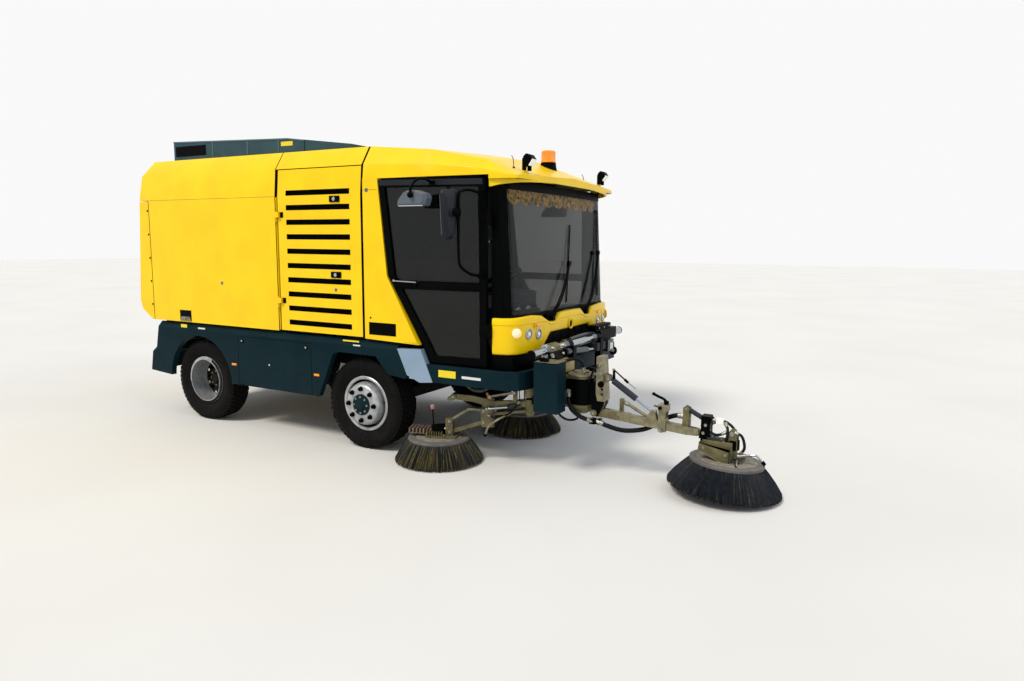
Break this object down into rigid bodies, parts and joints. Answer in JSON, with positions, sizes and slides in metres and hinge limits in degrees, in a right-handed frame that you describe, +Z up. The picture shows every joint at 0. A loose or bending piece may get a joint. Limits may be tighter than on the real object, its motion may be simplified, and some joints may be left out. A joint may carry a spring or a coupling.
{
  "type": "street sweeper truck",
  "caption": "Compact street sweeper truck with forward cab, tipping hopper, suction nozzle, side brushes on parallel links and a front brush on a slewing arm.",
  "frame": {"origin": "centre of the underside of the bounding box, on the ground", "axes": "+X forward, along the length; +Y to the left; +Z up"},
  "size_m": [6.314, 2.75, 2.795],
  "materials": {
    "body_yellow": "gloss",
    "skirt_green": "satin",
    "chassis_grey": "satin",
    "panel_grey": "satin",
    "door_black": "satin",
    "clear_glass": "polished",
    "tyre_rubber": "matte",
    "rim_silver": "satin",
    "dash_grey": "matte",
    "seat_cloth": "matte",
    "lamp_plastic": "gloss",
    "engine_iron": "matte",
    "hose_rubber": "matte",
    "carriage_black": "satin",
    "zinc_olive": "satin",
    "zinc_pale": "satin",
    "cylinder_black": "gloss",
    "rod_chrome": "polished",
    "bristle": "matte",
    "mirror_black": "matte"
  },
  "bodies": {
    "chassis": {"chassis_frame": "chassis_grey", "front_axle": "chassis_grey", "rear_axle": "chassis_grey", "engine_block": "engine_iron", "side_skirts": "skirt_green", "front_apron": "panel_grey", "rear_bumper": "skirt_green", "cab_frame": "door_black", "cab_shell": "body_yellow", "windscreen": "clear_glass", "front_panel": "body_yellow", "dashboard": "dash_grey", "seats": "seat_cloth", "roof_lamps": "lamp_plastic", "engine_housing": "body_yellow", "suction_nozzle": "chassis_grey", "suction_hose": "hose_rubber", "brush_carrier": "carriage_black", "valve_box": "skirt_green"},
    "tie_rod": {"tie_rod": "chassis_grey"},
    "hopper": {"hopper_body": "body_yellow", "roof_duct": "skirt_green"},
    "tailgate": {"tailgate": "body_yellow"},
    "tip_barrel": {"tip_barrel": "cylinder_black"},
    "tip_rod": {"tip_rod": "rod_chrome"},
    "mast": {"arm_mast": "zinc_pale"},
    "boom": {"boom": "zinc_pale"},
    "lift_barrel": {"lift_barrel": "cylinder_black"},
    "lift_rod": {"lift_rod": "rod_chrome"},
    "arm_head": {"arm_head": "zinc_olive"},
    "front_brush": {"front_brush": "bristle"},
    "knuckle_right": {"knuckle_right": "chassis_grey"},
    "door_right": {"door_frame_right": "door_black", "door_glass_right": "clear_glass", "mirrors_right": "mirror_black"},
    "engine_door_right": {"engine_door_right": "body_yellow"},
    "wheel_front_right": {"rim_front_right": "rim_silver", "tyre_front_right": "tyre_rubber"},
    "wheel_rear_right": {"rim_rear_right": "rim_silver", "tyre_rear_right": "tyre_rubber"},
    "knuckle_left": {"knuckle_left": "chassis_grey"},
    "door_left": {"door_frame_left": "door_black", "door_glass_left": "clear_glass", "mirrors_left": "mirror_black"},
    "engine_door_left": {"engine_door_left": "body_yellow"},
    "wheel_front_left": {"rim_front_left": "rim_silver", "tyre_front_left": "tyre_rubber"},
    "wheel_rear_left": {"rim_rear_left": "rim_silver", "tyre_rear_left": "tyre_rubber"},
    "brush_base_right": {"brush_base_right": "zinc_olive"},
    "lower_link_right": {"lower_link_right": "zinc_olive"},
    "upper_link_right": {"upper_link_right": "zinc_olive"},
    "brush_head_right": {"brush_head_right": "zinc_olive"},
    "side_brush_right": {"side_brush_right": "bristle"},
    "brush_base_left": {"brush_base_left": "zinc_olive"},
    "lower_link_left": {"lower_link_left": "zinc_olive"},
    "upper_link_left": {"upper_link_left": "zinc_olive"},
    "brush_head_left": {"brush_head_left": "zinc_olive"},
    "side_brush_left": {"side_brush_left": "bristle"}
  },
  "joints": [
    {"name": "steer_right", "type": "hinge", "parent": "chassis", "child": "knuckle_right", "pos_m": [-0.21699, -0.76, 0.398], "axis": [0, 0, 1], "range_deg": [-28, 28]},
    {"name": "spin_front_right", "type": "hinge", "parent": "knuckle_right", "child": "wheel_front_right", "pos_m": [-0.21699, -0.915, 0.398], "axis": [0, 1, 0], "continuous": true},
    {"name": "spin_rear_right", "type": "hinge", "parent": "chassis", "child": "wheel_rear_right", "pos_m": [-2.27199, -0.915, 0.398], "axis": [0, 1, 0], "continuous": true},
    {"name": "door_right_swing", "type": "hinge", "parent": "chassis", "child": "door_right", "pos_m": [1.01501, -1.007, 1.5], "axis": [0, 0, 1], "range_deg": [0, 75]},
    {"name": "engine_door_right_swing", "type": "hinge", "parent": "chassis", "child": "engine_door_right", "pos_m": [-1.14799, -1.082, 1.6], "axis": [0, 0, -1], "range_deg": [0, 100]},
    {"name": "steer_left", "type": "hinge", "parent": "chassis", "child": "knuckle_left", "pos_m": [-0.21699, 0.76, 0.398], "axis": [0, 0, 1], "range_deg": [-28, 28]},
    {"name": "spin_front_left", "type": "hinge", "parent": "knuckle_left", "child": "wheel_front_left", "pos_m": [-0.21699, 0.915, 0.398], "axis": [0, 1, 0], "continuous": true},
    {"name": "spin_rear_left", "type": "hinge", "parent": "chassis", "child": "wheel_rear_left", "pos_m": [-2.27199, 0.915, 0.398], "axis": [0, 1, 0], "continuous": true},
    {"name": "door_left_swing", "type": "hinge", "parent": "chassis", "child": "door_left", "pos_m": [1.01501, 1.007, 1.5], "axis": [0, 0, -1], "range_deg": [0, 75]},
    {"name": "engine_door_left_swing", "type": "hinge", "parent": "chassis", "child": "engine_door_left", "pos_m": [-1.14799, 1.082, 1.6], "axis": [0, 0, 1], "range_deg": [0, 100]},
    {"name": "tie_rod_pivot", "type": "hinge", "parent": "knuckle_right", "child": "tie_rod", "pos_m": [-0.36699, -0.76, 0.268], "axis": [0, 0, 1], "range_deg": [-28, 28]},
    {"name": "hopper_tip", "type": "hinge", "parent": "chassis", "child": "hopper", "pos_m": [-2.93899, 0, 0.938], "axis": [0, -1, 0], "range_deg": [0, 50]},
    {"name": "tailgate_swing", "type": "hinge", "parent": "hopper", "child": "tailgate", "pos_m": [-3.11299, 0, 2.188], "axis": [0, 1, 0], "range_deg": [0, 70]},
    {"name": "tip_barrel_pivot", "type": "hinge", "parent": "chassis", "child": "tip_barrel", "pos_m": [-2.71699, 0, 0.6], "axis": [0, -1, 0], "range_deg": [0, 30.11]},
    {"name": "tip_rod_slide", "type": "slide", "parent": "tip_barrel", "child": "tip_rod", "axis": [0.6133, 0, 0.7899], "range_m": [0, 0.2885]},
    {"name": "swing_right", "type": "hinge", "parent": "chassis", "child": "brush_base_right", "pos_m": [1.23301, -0.73, 0.49], "axis": [0, 0, -1], "range_deg": [-10, 32]},
    {"name": "lift_right", "type": "hinge", "parent": "brush_base_right", "child": "lower_link_right", "pos_m": [0.87975, -0.84003, 0.345], "axis": [-0.2974, 0.9548, 0], "range_deg": [0, 16]},
    {"name": "upper_link_right_pivot", "type": "hinge", "parent": "brush_base_right", "child": "upper_link_right", "pos_m": [0.87975, -0.84003, 0.437], "axis": [-0.2974, 0.9548, 0], "range_deg": [0, 16]},
    {"name": "head_right_level", "type": "hinge", "parent": "lower_link_right", "child": "brush_head_right", "pos_m": [0.60764, -0.92478, 0.246], "axis": [-0.2974, 0.9548, 0], "range_deg": [-16, 0]},
    {"name": "brush_right_spin", "type": "hinge", "parent": "brush_head_right", "child": "side_brush_right", "pos_m": [0.51217, -0.95452, 0.184], "axis": [0, 0, 1], "continuous": true},
    {"name": "swing_left", "type": "hinge", "parent": "chassis", "child": "brush_base_left", "pos_m": [1.23301, 0.73, 0.49], "axis": [0, 0, -1], "range_deg": [0, 68]},
    {"name": "lift_left", "type": "hinge", "parent": "brush_base_left", "child": "lower_link_left", "pos_m": [0.95377, 0.48726, 0.345], "axis": [-0.6561, 0.7547, 0], "range_deg": [0, 16]},
    {"name": "upper_link_left_pivot", "type": "hinge", "parent": "brush_base_left", "child": "upper_link_left", "pos_m": [0.95377, 0.48726, 0.437], "axis": [-0.6561, 0.7547, 0], "range_deg": [0, 16]},
    {"name": "head_left_level", "type": "hinge", "parent": "lower_link_left", "child": "brush_head_left", "pos_m": [0.73868, 0.30028, 0.246], "axis": [-0.6561, 0.7547, 0], "range_deg": [-16, 0]},
    {"name": "brush_left_spin", "type": "hinge", "parent": "brush_head_left", "child": "side_brush_left", "pos_m": [0.66321, 0.23467, 0.184], "axis": [0, 0, 1], "continuous": true},
    {"name": "arm_slew", "type": "hinge", "parent": "chassis", "child": "mast", "pos_m": [1.62301, -0.6, 0.64], "axis": [0, 0, 1], "range_deg": [-50, 60]},
    {"name": "boom_lift", "type": "hinge", "parent": "mast", "child": "boom", "pos_m": [1.75401, -0.6, 0.487], "axis": [0, -1, 0], "range_deg": [0, 25]},
    {"name": "lift_barrel_pivot", "type": "hinge", "parent": "mast", "child": "lift_barrel", "pos_m": [1.85801, -0.6, 0.761], "axis": [0, -1, 0], "range_deg": [0, 25.32]},
    {"name": "lift_rod_slide", "type": "slide", "parent": "lift_barrel", "child": "lift_rod", "axis": [0.8424, 0, -0.5389], "range_m": [-0.1274, 0]},
    {"name": "head_tilt", "type": "hinge", "parent": "boom", "child": "arm_head", "pos_m": [2.53501, -0.6, 0.431], "axis": [0, -1, 0], "range_deg": [-4, 15]},
    {"name": "front_brush_spin", "type": "hinge", "parent": "arm_head", "child": "front_brush", "pos_m": [2.75168, -0.56647, 0.23387], "axis": [0.0698, 0.0435, 0.9966], "continuous": true}
  ],
  "couplings": [
    {"joint": "steer_left", "follows": "steer_right", "ratio": 1},
    {"joint": "tie_rod_pivot", "follows": "steer_right", "ratio": -1},
    {"joint": "tip_barrel_pivot", "follows": "hopper_tip", "ratio": 0.60177},
    {"joint": "tip_rod_slide", "follows": "hopper_tip", "m_per_rad": 0.32998},
    {"joint": "upper_link_right_pivot", "follows": "lift_right", "ratio": 1},
    {"joint": "head_right_level", "follows": "lift_right", "ratio": -1},
    {"joint": "upper_link_left_pivot", "follows": "lift_left", "ratio": 1},
    {"joint": "head_left_level", "follows": "lift_left", "ratio": -1},
    {"joint": "lift_barrel_pivot", "follows": "boom_lift", "ratio": 1.012},
    {"joint": "lift_rod_slide", "follows": "boom_lift", "m_per_rad": -0.29073}
  ]
}
